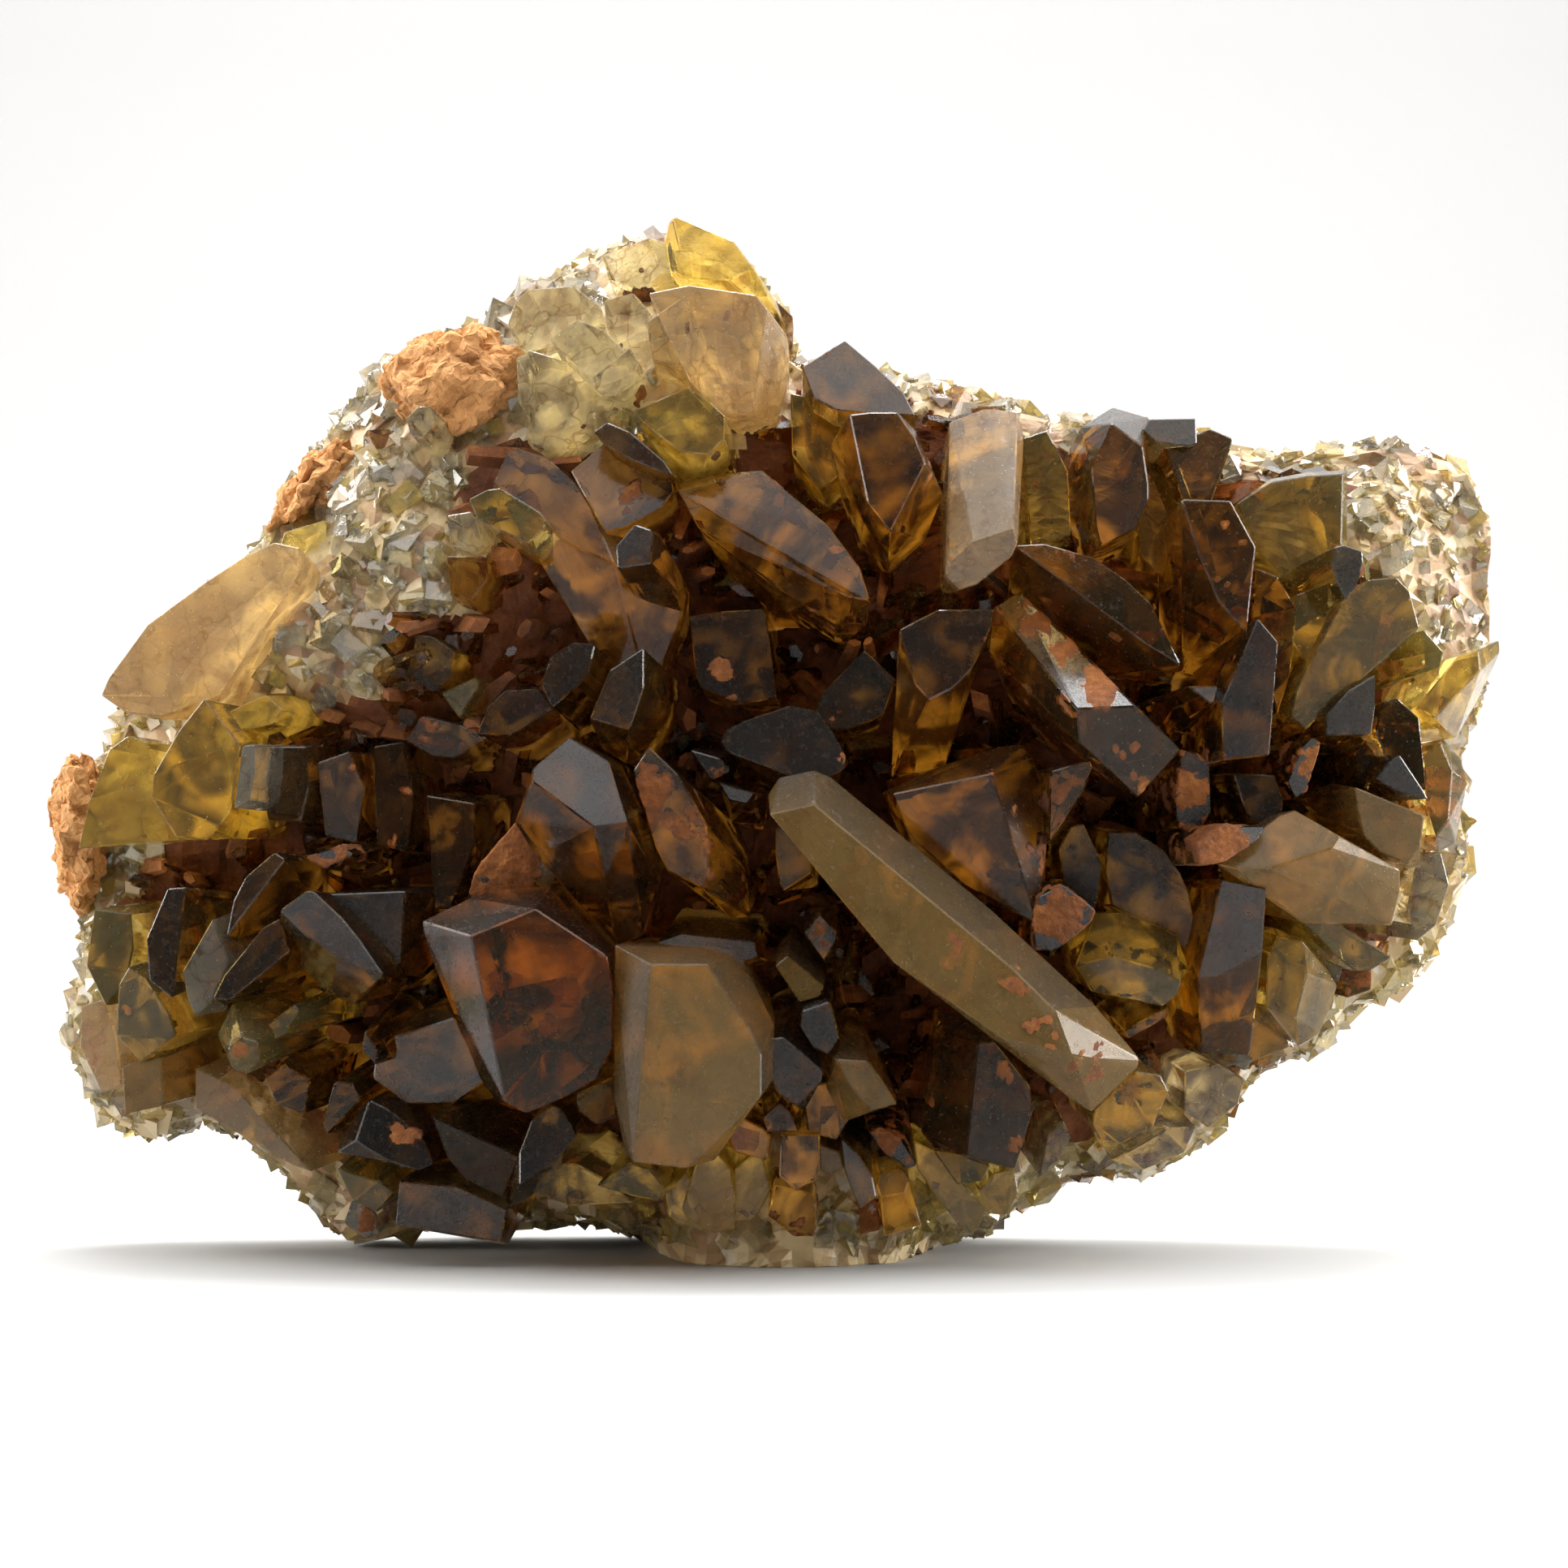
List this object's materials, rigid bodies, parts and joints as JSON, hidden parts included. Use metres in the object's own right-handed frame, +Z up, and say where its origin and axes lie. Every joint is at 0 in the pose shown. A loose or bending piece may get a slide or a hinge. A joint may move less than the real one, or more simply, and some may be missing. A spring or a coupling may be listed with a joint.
{
  "type": "baryte mineral specimen",
  "caption": "Free-standing cluster of honey-brown tabular and prismatic baryte crystals on a broad, paler massive base with rusty limonite crusts, resting on its flat broken foot.",
  "frame": {"origin": "middle of the bounding box, at the level of the flat foot", "axes": "+Z up, -Y towards the side that the crystals face, +X along the specimen's width"},
  "size_m": [0.1808, 0.072, 0.1288],
  "materials": {
    "baryte": "glassy, honey-brown, with rusty patches"
  },
  "bodies": {
    "root": {"baryte_cluster": "baryte"}
  },
  "joints": []
}
